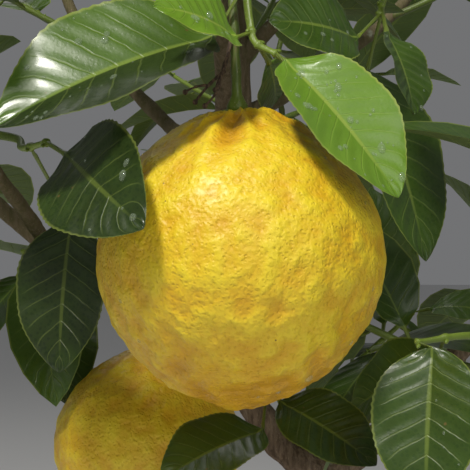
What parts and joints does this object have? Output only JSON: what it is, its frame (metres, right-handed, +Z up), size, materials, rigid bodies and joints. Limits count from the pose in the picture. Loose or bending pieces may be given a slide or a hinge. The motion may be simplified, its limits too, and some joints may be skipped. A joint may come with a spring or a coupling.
{
  "type": "potted lemon tree",
  "caption": "Small lemon tree with large knobbly fruit, growing in a plain clay pot that stands on its saucer.",
  "frame": {"origin": "centre of the saucer's underside, which rests on the floor", "axes": "+Z up, and -Y towards the side where the largest lemon hangs"},
  "size_m": [0.6081, 0.5741, 0.8562],
  "materials": {
    "clay": "matte",
    "soil": "matte",
    "bark": "matte",
    "green_wood": "satin",
    "peel": "satin",
    "leaf": "satin"
  },
  "bodies": {
    "root": {"saucer": "clay", "pot": "clay", "soil": "soil", "trunk_and_branches": "bark", "lemon_front": "peel", "stalk_front": "green_wood", "lemon_low": "peel", "stalk_low": "green_wood", "lemon_right": "peel", "stalk_right": "green_wood", "lemon_back": "peel", "stalk_back": "green_wood", "twig_front": "green_wood", "twig_left": "green_wood", "twig_upper": "green_wood", "twig_right": "green_wood", "twig_low": "green_wood", "leaf_upper_left": "leaf", "leaf_young": "leaf", "leaf_right": "leaf", "leaf_small": "leaf", "leaf_left": "leaf", "leaf_far_left": "leaf", "leaf_upper_right": "leaf", "leaf_edge": "leaf", "leaf_behind_right": "leaf", "leaf_low_right": "leaf", "leaf_under_right": "leaf", "leaf_under": "leaf", "leaf_low_left": "leaf", "leafy_shoot_01": "leaf", "leafy_shoot_02": "leaf", "leafy_shoot_03": "leaf", "leafy_shoot_04": "leaf", "leafy_shoot_05": "leaf", "leafy_shoot_06": "leaf", "leafy_shoot_07": "leaf", "leafy_shoot_08": "leaf", "leafy_shoot_09": "leaf", "leafy_shoot_10": "leaf", "leafy_shoot_11": "leaf", "leafy_shoot_12": "leaf", "leafy_shoot_13": "leaf", "leafy_shoot_14": "leaf", "leafy_shoot_15": "leaf", "leafy_shoot_16": "leaf", "leafy_shoot_17": "leaf", "leafy_shoot_18": "leaf", "leafy_shoot_19": "leaf", "leafy_shoot_20": "leaf", "leafy_shoot_21": "leaf", "leafy_shoot_22": "leaf", "leafy_shoot_23": "leaf", "leafy_shoot_24": "leaf", "leafy_shoot_25": "leaf", "leafy_shoot_26": "leaf", "leafy_shoot_27": "leaf", "leafy_shoot_28": "leaf", "leafy_shoot_29": "leaf", "leafy_shoot_30": "leaf"}
  },
  "joints": []
}
